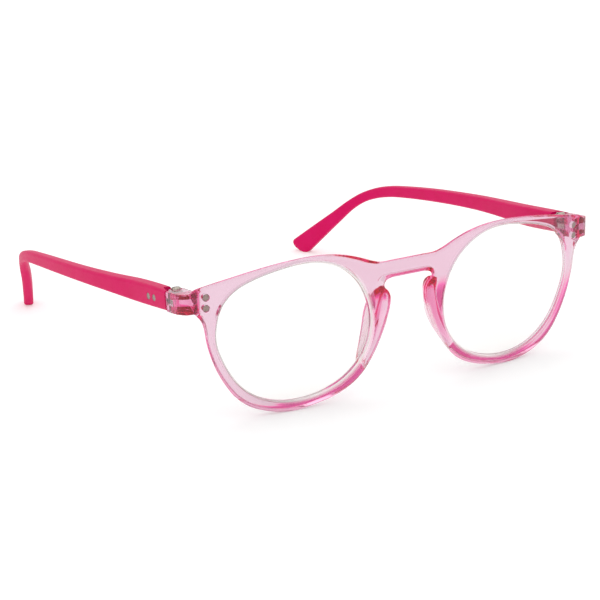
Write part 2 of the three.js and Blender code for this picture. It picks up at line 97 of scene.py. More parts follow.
SCREW_RADIUS = 0.65
SCREW_POINT = (0.15, 0.2)       # chamfer of the screw's end: how far in, and how high
SCREW_END = 0.1                 # how far the screw's end stays inside the knuckle
SCREW_HEAD_RADIUS = 1.35
SCREW_HEAD_SEAT = 2.6
SCREW_HEAD_LOW = 2.9
SCREW_HEAD_HIGH = 0.75
SCREW_ROOM = 0.3
SCREW_CUT = 6.0                 # how far the screw's holes are cut from the hinge's middle
SCREW_DOME = ((0.0, 0.32), (0.09, 0.17), (0.3, 0.06), (0.7, 0.0))   # steps in from its edge, below its top
SCREW_CROWN = 0.02
DRIVE_HALF = 0.22               # the slot across the screw's head
DRIVE_DEEP = 0.35

EYE_RADIUS = 1.95               # the tongue's eye, round the screw
TONGUE_HALF_THICK = 0.5
TONGUE_GAP = 0.3
TONGUE_X = 68.4
TONGUE_HALF = 1.9
TONGUE_START = 21.6
TONGUE_END = 30.0
TONGUE_CORNER = 1.0
TONGUE_BEVEL = 0.06
ARM_INNER = -0.9                # the arm from eye to plate, from the screw axis: x of its inner side
ARM_START = 0.6                 # and y of its ends and of its bend
ARM_END = 6.4
ARM_BEND = (2.2, 4.2)

FRONT_PIN_RADIUS = 1.05
FRONT_PIN_DEEP = 2.0
FRONT_PINS = {"upper": (64.0, 14.2), "lower": (64.0, 11.0)}     # x and z
PIN_RECESS = 0.22
TEMPLE_PIN_RADIUS = 1.0
TEMPLE_PINS = {"front": (23.9, 10.35), "rear": (27.4, 9.85)}    # y and z
STUD_EDGE = 0.12                # a pin's turned edge
STUD_DISH = 0.03                # how far the middle of its face lies below that edge

TEMPLE_EDGE = 1.0               # rounding of a temple's long edges
TEMPLE_ROUND_MOST = 0.42        # the most that this may take of the height or the thickness
TIP_ROUND = 2.4                 # how far a temple's rounded end reaches past its last station
TIP_ANGLES = (6, 87)            # degrees round that end
TIP_SKEW = 0.35                 # how much a temple's sections lean at its tip
TIP_START = 0.9                 # and the share of its length where that begins

CUT_REACH = 10.0                # how far cutting shapes reach where nothing limits them
OPENING_CUT = (1.5, 0.6)        # how far an opening is cut ahead of the front face and behind the back
HOLE_MOUTH = 2.0                # how far a pin's hole is cut past the face that it opens in

# Left half of the front's outline, from the middle of the bridge's top edge round to its underside.
OUTER_HALF = [
    (0, 16.8), (5, 16.8), (9, 16.8), (12, 17.6), (16, 19.2), (21, 20.8), (27, 21.8), (33, 22.0),
    (40, 21.6), (48, 20.6), (57, 19.0), (64.5, 17.5), (67.2, 16.8), (68.5, 15.8), (69.0, 14.4),
    (69.0, 12.2), (68.6, 11.0), (67.6, 9.7), (66.2, 8.1), (65.1, 6.2), (64.6, 4.0), (64.1, 0.6),
    (63.0, -3.6), (61.2, -8.4), (58.5, -13.4), (55.5, -17.4), (51.5, -20.6), (46.5, -22.7), (41, -23.85),
    (35.5, -23.9), (30, -23.0), (25, -21.8), (20.6, -20.0), (17.2, -17.8), (14.2, -14.8), (11.6, -11.0),
    (9.4, -6.8), (7.8, -3.0), (6.7, 0.4), (6.0, 3.6), (6.0, 6.0), (6.9, 7.8), (7.9, 8.8), (8.1, 9.7),
    (7.5, 10.6), (6.0, 11.1), (3.2, 11.2),
]

# Left lens opening about its own centre.
OPENING = [
    (25.4, 0.0), (25.2, 5.6), (23.6, 10.6), (19.8, 14.6), (14.0, 17.2), (7.0, 18.9), (0, 19.8),
    (-7.0, 19.2), (-13.4, 16.4), (-18.2, 12.0), (-21.2, 6.4), (-22.5, 0.0), (-21.6, -6.6), (-18.6, -12.2),
    (-14.0, -16.4), (-7.4, -19.4), (0, -20.7), (7.2, -20.2), (13.6, -17.8), (18.8, -13.6), (22.6, -7.8),
]

# Nose pads: height, x of the crest that meets the nose, x and y of the pad's rear edge.
PAD_STATIONS = [
    (-15.0, 15.4, 17.2, 2.6), (-12.0, 12.7, 16.1, 4.7), (-8.0, 10.2, 14.1, 6.4), (-4.0, 8.4, 12.7, 7.3),
    (0.0, 7.0, 12.0, 7.4), (3.5, 6.3, 11.3, 6.8), (6.5, 6.6, 10.6, 5.4), (8.8, 8.2, 10.0, 2.7),
]

# Temple: y, x, z of the centreline, then height and thickness across it.
TEMPLE_STATIONS = [
    (17.0, 68.9, 11.35, 5.95, 4.4), (22, 68.9, 10.7, 6.15, 4.4), (30, 68.9, 9.6, 6.25, 4.4),
    (38, 69.15, 8.55, 6.1, 4.35), (50, 70.2, 7.15, 5.3, 4.2), (64, 71.0, 5.45, 4.7, 4.0),
    (78, 71.0, 3.55, 4.35, 3.8), (92, 70.4, 1.5, 4.15, 3.6), (105, 69.4, -0.65, 3.9, 3.4),
    (114.5, 68.3, -2.5, 3.75, 3.2), (121.5, 67.0, -4.55, 3.6, 3.1), (127.5, 65.2, -7.3, 3.4, 3.0),
    (132.5, 63.0, -11.0, 3.5, 3.0), (138, 60.0, -16.6, 4.35, 3.1), (144.4, 56.9, -22.9, 5.6, 3.2),
    (150.8, 54.0, -29.1, 6.8, 3.2),
]

# ---------------------------------------------------------------- fineness

VOXEL = 0.25
SOFTENING = 6                   # passes that round the moulding's edges
OUTLINE_POINTS = 900
OPENING_POINTS = 420
LENS_RINGS = 40
EDGE_STEPS = 7
PAD_RINGS = 90
PAD_AROUND = 72
CORNER_STEPS = 24
FILLET_STEPS = 12
ROUND_SEGMENTS = 64
TEMPLE_STEPS = 300
TIP_RINGS = 16
QUARTER_POINTS = 9              # points round each edge of a temple's section
SHARP_ANGLE = math.radians(38)
BEVEL_ANGLE = math.radians(40)
LIGHT_BOUNCES = 32              # light runs a long way inside the clear front

# ---------------------------------------------------------------- curves and outlines


def through(points, closed=False):
    """The centripetal curve through some points, as a function of shares of the way along it."""
    points = np.array(points, float)
    if closed:
        padded = np.vstack([points[-1:], points, points[:2]])
    else:
        padded = np.vstack([2 * points[0] - points[1], points, 2 * points[-1] - points[-2]])
    spans = len(padded) - 3

    def at(share):
        place = np.atleast_1d(np.asarray(share, float)) * spans
        k = np.clip(place.astype(int), 0, spans - 1)
        u = (place - k)[:, None]
        p0, p1, p2, p3 = (padded[k + i] for i in range(4))
        pairs = ((p0, p1), (p1, p2), (p2, p3))
        d0, d1, d2 = (np.linalg.norm(b - a, axis=1, keepdims=True) ** 0.5 for a, b in pairs)
        out = ((p1 - p0) / d0 - (p2 - p0) / (d0 + d1) + (p2 - p1) / d1) * d1
        into = ((p2 - p1) / d1 - (p3 - p1) / (d1 + d2) + (p3 - p2) / d2) * d1
        cubic, square = u**3, u**2
        return ((2 * cubic - 3 * square + 1) * p1 + (cubic - 2 * square + u) * out
                + (3 * square - 2 * cubic) * p2 + (cubic - square) * into)

    return at


def evenly(curve, count):
    """Points an equal distance apart round a closed curve."""
    fine = curve(np.linspace(0, 1, 12 * count))
    along = np.concatenate([[0], np.cumsum(np.linalg.norm(np.diff(fine, axis=0), axis=1))])
    wanted = np.arange(count) / count * along[-1]
    return np.column_stack([np.interp(wanted, along, column) for column in fine.T])


def outward(outline):
    """Outward normals of a closed flat outline, whichever way it turns."""
    along = np.roll(outline, -1, 0) - np.roll(outline, 1, 0)
    along /= np.linalg.norm(along, axis=1, keepdims=True)
    normals = np.column_stack([along[:, 1], -along[:, 0]])
    x, y = outline.T
    turning = np.sum(x * np.roll(y, -1) - np.roll(x, -1) * y)
    return normals if turning > 0 else -normals


def grown(outline, by):
    return outline + outward(outline) * np.reshape(by, (-1, 1))


def outer_outline():
    other = [(-x, z) for x, z in OUTER_HALF[:0:-1]]
    return evenly(through(OUTER_HALF + other, closed=True), OUTLINE_POINTS)


def opening_outline(grow=0.0):
    outline = evenly(through(OPENING, closed=True), OPENING_POINTS) + [OPENING_CENTRE_X, 0]
    return grown(outline, grow)


# ---------------------------------------------------------------- meshes


def linked(name, mesh):
    piece = bpy.data.objects.new(name, mesh)
    bpy.context.scene.collection.objects.link(piece)
    return piece


def solid(name, points, faces):
    """A new object of those points and faces, with every face turned outward."""
    mesh = bpy.data.meshes.new(name)
    mesh.from_pydata(np.asarray(points, float).tolist(), [], faces)
    work = bmesh.new()
    work.from_mesh(mesh)
    bmesh.ops.recalc_face_normals(work, faces=work.faces)
    work.to_mesh(mesh)
    work.free()
    return linked(name, mesh)


def skin(name, rings):
    """A closed skin over rings of equal length."""
    rings = [np.asarray(ring, float) for ring in rings]
    around = len(rings[0])
    faces = []
    for r in range(len(rings) - 1):
        for i in range(around):
            a, b = r * around + i, r * around + (i + 1) % around
            faces.append((a, b, b + around, a + around))
    last = (len(rings) - 1) * around
    faces.append(tuple(range(around)))
    faces.append(tuple(range(last, last + around)))
    return solid(name, np.vstack(rings), faces)


def flat_ring(outline, axis, level):
    """A flat outline as points in space, at one level along the given axis."""
    ring = np.full((len(outline), 3), float(level))
    ring[:, [a for a in range(3) if a != axis]] = outline
    return ring


def prism(name, outline, axis, low, high):
    return skin(name, [flat_ring(outline, axis, level) for level in (low, high)])


def turned(name, profile, axis=2):
    """A solid of revolution; profile is (radius, height) pairs from one end to the other."""
    angles = np.arange(ROUND_SEGMENTS) / ROUND_SEGMENTS * 2 * math.pi
    rings = []
    for radius, height in profile:
        circle = np.column_stack([np.cos(angles), np.sin(angles)]) * max(radius, 1e-3)
        rings.append(flat_ring(circle, axis, height))
    return skin(name, rings)


def settled(piece):
    """Applies the piece's modifiers."""
    depsgraph = bpy.context.evaluated_depsgraph_get()
    mesh = bpy.data.meshes.new_from_object(piece.evaluated_get(depsgraph))
    piece.modifiers.clear()
    piece.data = mesh
    return piece


def combined(piece, others, operation):
    """Joins other solids to a piece, or cuts them from it."""
    for other in others:
        change = piece.modifiers.new("combine", "BOOLEAN")
        change.operation = operation
        change.solver = "MANIFOLD"
        change.object = other
    settled(piece)
    for other in others:
        bpy.data.objects.remove(other)
    return piece


def joined(name, pieces):
    """One object holding the meshes of several, which may overlap."""
    work = bmesh.new()
    for piece in pieces:
        work.from_mesh(piece.data)
        bpy.data.objects.remove(piece)
    mesh = bpy.data.meshes.new(name)
    work.to_mesh(mesh)
    work.free()
    return linked(name, mesh)


def softened(piece):
    """Fuses overlapping solids into one skin and rounds its edges."""
    fuse = piece.modifiers.new("fuse", "REMESH")
    fuse.mode = "VOXEL"
    fuse.voxel_size = VOXEL
    soften = piece.modifiers.new("soften", "SMOOTH")
    soften.factor = 0.5
    soften.iterations = SOFTENING
    return settled(piece)


def bevelled(piece, width):
    bevel = piece.modifiers.new("bevel", "BEVEL")
    bevel.width = width
    bevel.segments = 2
    bevel.limit_method = "ANGLE"
    bevel.angle_limit = BEVEL_ANGLE
    return settled(piece)


def points_of(piece):
    points = np.empty(len(piece.data.vertices) * 3)
    piece.data.vertices.foreach_get("co", points)
    return points.reshape(-1, 3)


def reshaped(piece, change):
    """Moves every point of a piece by a function of all its points."""
    points = np.ascontiguousarray(change(points_of(piece)))
    piece.data.vertices.foreach_set("co", points.ravel())
    piece.data.update()
    return piece


def shaded(piece, values):
    """Stores a value at every point of the piece, for its material."""
    layer = piece.data.attributes.new("edge", "FLOAT", "POINT")
    layer.data.foreach_set("value", np.asarray(values, float))
    return piece


def bowed(points, share=1.0):
    points = points.copy()
    points[:, 1] += share * WRAP * points[:, 0] ** 2
    return points


def unbowed(points):
    return bowed(points, -1.0)


def leaned(points, angle):
    """Turned about the X axis."""
    x, y, z = points.T
    sin, cos = math.sin(angle), math.cos(angle)
    return np.column_stack([x, y * cos - z * sin, y * sin + z * cos])


def at_hinge(points):
    return leaned(points, -TEMPLE_SLOPE) + HINGE


def stood(points):
    return (leaned(points, STAND_TILT) + STAND_SHIFT) * MM


def mirrored(piece):
    """Turns a left piece into its right twin."""
    reshaped(piece, lambda points: points * [-1, 1, 1])
    piece.data.flip_normals()
    return piece


def both_sides(make):
    """A left piece and its right twin."""
    return [make(), mirrored(make())]


# ---------------------------------------------------------------- front


def rounded_corner(size, fullness):
    """Depth and inset round a corner, from a face into the side."""
    wide, deep = size
    turn = np.linspace(0, math.pi / 2, EDGE_STEPS + 1)
    return list(zip(deep * (1 - np.cos(turn) ** fullness), wide * (1 - np.sin(turn) ** fullness)))


def side_levels(size, fullness):
    """Depth and inset down a side, from its front corner to its small back corner."""
    corner = rounded_corner((RIM_EDGE, RIM_EDGE), ROUND_FULLNESS)
    back = [(PLATE_THICK - depth, inset) for depth, inset in reversed(corner)]
    middle = np.linspace(size[1], PLATE_THICK - RIM_EDGE, 5)[1:-1]
    return rounded_corner(size, fullness) + [(depth, 0.0) for depth in middle] + back


def plate():
    """The front's outer shape, still without openings."""
    outline = outer_outline()
    lean_most = BACK_INSET + SIDE_INSET * np.abs(outward(outline)[:, 0])
    rings = []
    for depth, inset in side_levels(FRONT_ROUND, ROUND_FULLNESS):
        lean = max(0.0, (depth - RIM_EDGE) / (PLATE_THICK - RIM_EDGE)) ** LEAN_BEND
        rings.append(flat_ring(grown(outline, -(inset + lean * lean_most)), 1, depth))
    return skin("plate", rings)


def opening_cutter():
    """What leaves the left opening: its mouths flare so that both its edges are round."""
    ahead, behind = OPENING_CUT
    rings = [(-ahead, OPENING_BEVEL[0])]
    rings += side_levels(OPENING_BEVEL, BEVEL_FULLNESS)
    rings.append((PLATE_THICK + behind, RIM_EDGE))
    return skin("opening", [flat_ring(opening_outline(inset), 1, depth) for depth, inset in rings])


def groove_cutter():
    low = LENS_FRONT - FIT
    return prism("groove", opening_outline(LENS_BITE + FIT), 1, low, low + LENS_THICK + 2 * FIT)


def pad_section(crest_x, rear_x, rear_y):
    """A nose pad at one height, seen from above: its crest, its rear edge, and its root in the rim."""
    root_x = crest_x + PAD_ROOT
    reach_y = rear_y - PAD_CREST_Y
    return through([
        (crest_x + 1.2, 0.9),
        (crest_x, PAD_CREST_Y),
        (crest_x + 0.35 * (rear_x - crest_x) - 0.2, PAD_CREST_Y + 0.5 * reach_y),
        (rear_x - PAD_THICK, rear_y - 0.4),
        (rear_x - 0.5 * PAD_THICK, rear_y),
        (rear_x, rear_y - 0.5),
        (root_x + 0.4, PAD_CREST_Y + 0.25 * reach_y),
        (root_x, 1.2),
    ], closed=True)


def nose_pad():
    stations = through(PAD_STATIONS)(np.linspace(0, 1, PAD_RINGS))
    rings = [flat_ring(evenly(pad_section(*section), PAD_AROUND), 2, z) for z, *section in stations]
    return skin("nose_pad", rings)


def block_plan():
    """The end block from above: its outer corner, its rear, and the fillet inside that meets the rim."""
    rear, inner = HINGE[1] + HINGE_HALF, HINGE[0] - KNUCKLE_RADIUS
    plan = list(BLOCK_FRONT)
    for angle in np.radians(np.linspace(BLOCK_CORNER_FROM, 0, CORNER_STEPS)):
        x = SIDE_X + BLOCK_CORNER * (math.cos(angle) - 1)
        plan.append((x, BLOCK_CORNER_Y + BLOCK_CORNER * math.sin(angle)))
    plan += [(SIDE_X, rear), (inner, rear)]
    start, bend = (np.array([inner, y]) for y in BLOCK_FILLET_Y)
    end = np.array(BLOCK_FILLET_END)
    for u in np.linspace(0, 1, FILLET_STEPS):
        plan.append((1 - u) ** 2 * start + 2 * u * (1 - u) * bend + u**2 * end)
    return plan


def block_side():
    """The end block from the side: its top and its underside slope with the temple."""
    half = HINGE_HALF / math.cos(TEMPLE_SLOPE)
    slope = math.tan(TEMPLE_SLOPE)

    def top(y):
        return HINGE[2] + half - slope * (y - HINGE[1])

    def underside(y):
        return top(y) - 2 * half

    return [
        (4, underside(9) + 0.5), (9, underside(9) + 0.1), (22, underside(22)),
        (22, top(22)), (8, top(8)), (4, top(8) + 0.3),
    ]


def end_block():
    """The block behind the outer corner, with the hinge knuckle behind it."""
    x, _, z = HINGE
    block = prism("block", block_plan(), 2, z - CUT_REACH, z + CUT_REACH)
    side = prism("side", block_side(), 0, x - CUT_REACH, x + CUT_REACH)
    combined(block, [side], "INTERSECT")
    far = JOINT_BACK + CUT_REACH
    square = [(-CUT_REACH, JOINT_BACK), (CUT_REACH, JOINT_BACK), (CUT_REACH, far), (-CUT_REACH, far)]
    behind = reshaped(prism("behind", square, 2, -CUT_REACH, CUT_REACH), at_hinge)
    combined(block, [behind], "DIFFERENCE")
    knuckle = turned("knuckle", [(KNUCKLE_RADIUS, -HINGE_HALF), (KNUCKLE_RADIUS, HINGE_HALF)])
    return joined("end", [block, reshaped(knuckle, at_hinge)])


def slot_cutter():
    reach = SIDE_X - SLOT_WALL - HINGE[0]
    plan = [
        (-SLOT_INWARD, -SLOT_AHEAD), (reach, -SLOT_AHEAD),
        (reach, SLOT_BEHIND), (-SLOT_INWARD, SLOT_BEHIND),
    ]
    return reshaped(prism("slot", plan, 2, -SLOT_HALF, SLOT_HALF), at_hinge)


def screw_cutter(radius, low=-SCREW_CUT):
    """A hole on the screw axis, from a height above the hinge's middle upwards."""
    return reshaped(turned("hole", [(radius, low), (radius, SCREW_CUT)]), at_hinge)


def on_front(name, at, profile):
    """A round piece standing on the bowed front face at x, z; profile heights run back into the front."""
    x, z = at
    angle = math.atan(2 * WRAP * x)

    def seat(points):
        px, py, pz = points.T
        across = px * math.cos(angle) - py * math.sin(angle)
        back = px * math.sin(angle) + py * math.cos(angle)
        return np.column_stack([across + x, back + WRAP * x * x, pz + z])

    return reshaped(turned(name, profile, axis=1), seat)


def clear_front():
    pieces = [plate()]
    for make in (nose_pad, end_block):
        pieces += [reshaped(piece, unbowed) for piece in both_sides(make)]
    front = softened(joined("front_moulding", pieces))
    combined(front, both_sides(opening_cutter) + both_sides(groove_cutter), "DIFFERENCE")
    reshaped(front, bowed)
    cutters = both_sides(slot_cutter)
    cutters += both_sides(lambda: screw_cutter(SCREW_RADIUS + FIT))
    cutters += both_sides(lambda: screw_cutter(SCREW_HEAD_RADIUS + SCREW_ROOM, SCREW_HEAD_SEAT))
    radius = FRONT_PIN_RADIUS + FIT
    hole = [(radius, -HOLE_MOUTH), (radius, FRONT_PIN_DEEP + FIT)]
    for at in FRONT_PINS.values():
        cutters += both_sides(lambda: on_front("hole", at, hole))
    combined(front, cutters, "DIFFERENCE")
    return shaded(front, colour_depth_with_painted_glow(front))


# ---------------------------------------------------------------- how deep the front's colour looks: painted glow and painted deep shade

# A pale wall counts as -1, a broad face as 0, a place painted with the glow of light that has come a long
# way through the plastic as 1, and one painted with the deep shade of light that has gone round inside an
# end block as 2. Unless it says otherwise, each pair below is where something starts to show and where it
# shows in full.
# Heights are above the lenses' middle, depths from the front face. Turns are parts of the surface normal:
# towards the nose, or forwards and back.

BEHIND_PLATE = 0.1              # past the plate's back, where a point belongs to a nose pad or an end block
PAD_ACROSS = 25
BLOCK_ACROSS = 55

WALL_TURN = (0.97, 0.67)        # frosted walls round the openings, by how they turn from front and back
WALL_BEYOND = 0.2               # and this far past the bevel, leaving out the groove
GROOVE_BEYOND = 0.4
TEMPLE_WALL = 0.3               # strength of the wall beside the temple
TEMPLE_WALL_FADE = (0.5, -0.3)  # by direction from the opening's middle: 1 is the temple's, -1 the nose's
PAD_LENS_WALL = 0.5             # a pad's side that faces the lens
PAD_LENS_TURN = (0.0, -0.4)
PAD_LENS_DEPTH = (6.0, 4.0)
PAD_NOSE_WALL = 0.6             # a pad's side that faces the nose
PAD_NOSE_TURN = (0.1, 0.5)
PAD_NOSE_HEIGHT = (2.5, -0.5)
PAD_NOSE_ACROSS = 15

SIDE_TURN = (0.75, 0.25)        # outer sides, painted with a glow
LOW = (4.0, -10.0)              # and painted with more glow low down
LOW_GAIN = 0.8
CORNER_CLEAR = (62, 8)          # but not round the upper outer corners, beyond this far across and up
NOSE_TURN = (0.0, 0.5)
NOSE_CLEAR = 0.75               # and less where they face the nose
NOSE_CLEAR_ACROSS = 17
NOSE_CLEAR_HEIGHT = (6.0, 3.0)

TEMPLE_SIDE = (0.0, 0.6)        # by direction from the opening's middle, as above
BAND_REACH = 2.6                # painted glow band along the outer edge of the plate's back, narrower on the temple side
BAND_LINE = (0.3, 0.7)
BAND_OUTSIDE = 0.6              # its strength at the very edge, as a share
BAND_STRENGTH = (1.65, 0.2)     # its strength, and how much more it has on the temple side

NASAL_BEYOND = (3.4, 2.2)       # painted glow band beside the opening, on the nose side
NASAL_DIRECTION = (-0.25, -0.55)
NASAL_HEIGHT = (9.0, 3.0)
NASAL_STRENGTH = (1.8, 0.1)     # on the plate, and on the pad behind it

PAD_SHARE = (0.1, 0.4)          # what a pad keeps of all this, and how much more low down
# where painted deep shade shows at the tops of the nose pads
PAD_TOP_HEIGHT = (3.5, 6.0)
PAD_TOP_TURN = -0.2

BLOCK_TURN = (0.3, 0.7)         # painted deep shade on walls inside an end block, above and below its slot
BLOCK_DEEP = 5.0                # from this far ahead of the screw axis
BLOCK_PAST_KNUCKLE = 0.5


def faded(values, start, full):
    """0 before start, 1 past full, and soft in between."""
    share = np.clip((values - start) / (full - start), 0, 1)
    return share * share * (3 - 2 * share)


def distance_to(outline, points):
    tree = KDTree(len(outline))
    for i, (x, z) in enumerate(outline):
        tree.insert((x, 0, z), i)
    tree.balance()
    return np.array([tree.find((x, 0, z))[2] for x, _, z in points])


def opening_reach(across, height):
    """How far the opening's outline lies from its middle, in each direction."""
    outline = opening_outline() - [OPENING_CENTRE_X, 0]
    angles = np.arctan2(outline[:, 1], outline[:, 0])
    order = np.argsort(angles)
    reaches = np.hypot(*outline[order].T)
    return np.interp(np.arctan2(height, across), angles[order], reaches, period=2 * math.pi)


class FrontPoints:
    """Where each point of the clear front lies and which way it faces, alike on both sides."""

    def __init__(self, piece):
        points = points_of(piece)
        normals = np.empty(points.size)
        piece.data.vertex_normals.foreach_get("vector", normals)
        nx, ny, _ = normals.reshape(-1, 3).T
        self.across = np.abs(points[:, 0])
        self.height = points[:, 2]
        self.depth = unbowed(points)[:, 1]
        self.backward = ny
        self.noseward = -nx * np.sign(points[:, 0])
        self.behind = self.depth > PLATE_THICK + BEHIND_PLATE
        self.pad = self.behind & (self.across < PAD_ACROSS)
        self.block = self.behind & (self.across > BLOCK_ACROSS)
        from_middle = self.across - OPENING_CENTRE_X
        distance = np.hypot(from_middle, self.height)
        self.templeward = from_middle / distance
        self.beyond_opening = distance - opening_reach(from_middle, self.height)
        self.from_edge = distance_to(outer_outline(), points)
        self.level = leaned(points - HINGE * [0, 1, 1], TEMPLE_SLOPE)


def pale_walls(at):
    """Round the lens openings, and on both sides of the nose pads."""
    groove = (at.beyond_opening > GROOVE_BEYOND) & (at.depth > OPENING_BEVEL[1])
    near = (at.beyond_opening < OPENING_BEVEL[0] + WALL_BEYOND) & ~at.behind & ~groove
    wall = faded(np.abs(at.backward), *WALL_TURN) * near
    wall *= TEMPLE_WALL + (1 - TEMPLE_WALL) * faded(at.templeward, *TEMPLE_WALL_FADE)
    lens_side = PAD_LENS_WALL * faded(at.noseward, *PAD_LENS_TURN) * faded(at.depth, *PAD_LENS_DEPTH)
    wall[at.pad] = lens_side[at.pad]
    nose_side = PAD_NOSE_WALL * faded(at.noseward, *PAD_NOSE_TURN) * faded(at.height, *PAD_NOSE_HEIGHT)
    return np.maximum(wall, nose_side * (at.across < PAD_NOSE_ACROSS))


def painted_side_glow(at, low):
    """Painted glow on the outer sides, and on the pads' sides that face the nose, fainter there below the
    bridge.
    """
    across, height = CORNER_CLEAR
    side = faded(np.abs(at.backward), *SIDE_TURN) * ~((at.across > across) & (at.height > height))
    to_nose = faded(at.noseward, *NOSE_TURN)
    side[at.pad] *= to_nose[at.pad]
    low_nose = (at.across < NOSE_CLEAR_ACROSS) * faded(at.height, *NOSE_CLEAR_HEIGHT)
    side *= 1 - NOSE_CLEAR * to_nose * low_nose
    return side * (1 + LOW_GAIN * low)


def painted_outer_glow_band(at):
    """A painted glow band along the outer edge."""
    temple_side = faded(at.templeward, *TEMPLE_SIDE)
    reach = BAND_REACH - temple_side
    line = BAND_OUTSIDE + (1 - BAND_OUTSIDE) * faded(at.from_edge, *BAND_LINE)
    strength, more = BAND_STRENGTH
    return faded(at.from_edge, reach, reach - 1) * line * (strength + more * temple_side)


def painted_nasal_glow_band(at):
    """A painted glow band beside each opening, on the nose side."""
    band = faded(at.beyond_opening, *NASAL_BEYOND) * faded(at.templeward, *NASAL_DIRECTION)
    on_plate, on_pad = NASAL_STRENGTH
    return band * faded(at.height, *NASAL_HEIGHT) * np.where(at.behind, on_pad, on_plate)


def painted_block_shade(at):
    """Painted deep shade on the inner walls of the end blocks, beside the slot."""
    beside_slot = (np.abs(at.level[:, 2]) > SLOT_HALF) & (at.level[:, 1] > -BLOCK_DEEP)
    inner = at.across < HINGE[0] - KNUCKLE_RADIUS + BLOCK_PAST_KNUCKLE
    return faded(at.noseward, *BLOCK_TURN) * beside_slot * inner


def colour_depth_with_painted_glow(piece):
    """From -1 to 2, at each point: pale walls, plain faces, painted glow and painted deep shade."""
    at = FrontPoints(piece)
    low = faded(at.height, *LOW)
    # painted glow bands along the outer edge and beside the openings
    bands = np.maximum(low * painted_outer_glow_band(at), painted_nasal_glow_band(at)) * (at.backward > 0)
    value = np.maximum(painted_side_glow(at, low), bands)
    kept, more = PAD_SHARE
    value[at.pad] *= kept + more * low[at.pad]
    # painted deep shade at the tops of the nose pads
    painted_pad_top_shade = 2 * faded(at.height, *PAD_TOP_HEIGHT) * (at.backward > PAD_TOP_TURN)
    value[at.pad] = np.maximum(value, painted_pad_top_shade)[at.pad]
    # painted deep shade inside the end blocks
    value[at.block] = 2 * painted_block_shade(at)[at.block]
    wall = pale_walls(at)
    return np.where(wall > 0, -wall, value)


# ---------------------------------------------------------------- lenses


def lens():
    """A bowed lens blank with a ground, chamfered edge that sits in its groove."""
    rim = opening_outline(LENS_BITE)
    inner = opening_outline(LENS_BITE - LENS_CHAMFER)
    centre = np.array([OPENING_CENTRE_X, 0.0])
    back = LENS_FRONT + LENS_THICK
    shares = np.linspace(LENS_MIDDLE, 1, LENS_RINGS)
    rings = [flat_ring(centre + (inner - centre) * share, 1, LENS_FRONT) for share in shares]
    rings.append(flat_ring(rim, 1, LENS_FRONT + LENS_CHAMFER))
    rings.append(flat_ring(rim, 1, back - LENS_CHAMFER))
    rings += [flat_ring(centre + (inner - centre) * share, 1, back) for share in shares[::-1]]
    ground = [0] * LENS_RINGS + [1, 1] + [0] * LENS_RINGS
    return shaded(reshaped(skin("lens", rings), bowed), np.repeat(ground, OPENING_POINTS))


# ---------------------------------------------------------------- temples


def temple_section(height, thickness):
    """A rounded rectangle."""
    radius = min(TEMPLE_EDGE, thickness * TEMPLE_ROUND_MOST, height * TEMPLE_ROUND_MOST)
    points = []
    for sx, sz, start in ((1, 1, 0), (-1, 1, 90), (-1, -1, 180), (1, -1, 270)):
        for angle in np.radians(np.linspace(start, start + 90, QUARTER_POINTS)):
            across = sx * (thickness / 2 - radius) + radius * math.cos(angle)
            points.append((across, sz * (height / 2 - radius) + radius * math.sin(angle)))
    return np.array(points)


def directions(line, t):
    """Along a curve at one share of the way, level across it, and up it."""
    step = 1e-4
    start, end = line([max(0, t - step), min(1, t + step)])
    along = (end - start) / np.linalg.norm(end - start)
    across = np.cross(along, (0, 0, 1))
    across /= np.linalg.norm(across)
    return along, across, np.cross(across, along)


def temple_bar():
    """A bar through the stations, with a rounded end past the last one."""
    table = np.array(TEMPLE_STATIONS, float)
    line = through(table[:, [1, 0, 2]])
    sizes = through(table[:, [3, 0, 4]])
    stations = [(t, 1.0, 0.0) for t in np.linspace(0, 1, TEMPLE_STEPS)]
    for angle in np.radians(np.linspace(*TIP_ANGLES, TIP_RINGS)):
        stations.append((1.0, math.cos(angle), TIP_ROUND * math.sin(angle)))
    rings = []
    for t, shrink, beyond in stations:
        along, across, tall = directions(line, t)
        height, _, thickness = sizes(t)[0]
        height *= (0.5 + 0.5 * shrink) * math.sqrt(shrink)
        section = temple_section(height, thickness * math.sqrt(shrink))
        tall = tall + TIP_SKEW * max(0.0, (t - TIP_START) / (1 - TIP_START)) * along
        middle = line(t)[0] + along * beyond
        rings.append(middle + np.outer(section[:, 0], across) + np.outer(section[:, 1], tall))
    return skin("temple", rings)


def pocket_cutter():
    """Room for the knuckle at the front of a temple."""
    plan = [(-CUT_REACH, -4), (2.95, -4), (2.8, 1.2), (1.9, 4.1), (-1.4, 4.5), (-CUT_REACH, 4.5)]
    return reshaped(prism("pocket", plan, 2, -CUT_REACH, CUT_REACH), at_hinge)


def tongue_plate(grow=0.0):
    half = TONGUE_HALF + grow
    start = TONGUE_START - grow - HINGE[1]
    end = TONGUE_END + grow - HINGE[1]
    corner_y, corner_z = end - TONGUE_CORNER, half - TONGUE_CORNER
    side = [
        (start, -half), (corner_y, -half), (end, -corner_z),
        (end, corner_z), (corner_y, half), (start, half),
    ]
    x = TONGUE_X - HINGE[0]
    reach = TONGUE_HALF_THICK + grow
    return reshaped(prism("plate", side, 0, x - reach, x + reach), at_hinge)


def tongue_arm(grow=0.0):
    """From the eye, bending outward to the plate."""
    x = TONGUE_X - HINGE[0]
    reach = TONGUE_HALF_THICK + grow
    inner = ARM_INNER - grow
    plan = [
        (inner, ARM_START), (x + reach, ARM_START), (x + reach, ARM_END),
        (x - reach, ARM_END), (x - reach, ARM_BEND[1]), (inner, ARM_BEND[0]),
    ]
    half = SLOT_HALF - TONGUE_GAP + grow
    return reshaped(prism("arm", plan, 2, -half, half), at_hinge)


def across_temple(name, at, profile):
    """A round piece across the temple at y, z; profile heights are x."""
    y, z = at
    return reshaped(turned(name, profile, axis=0), lambda points: points + [0, y, z])


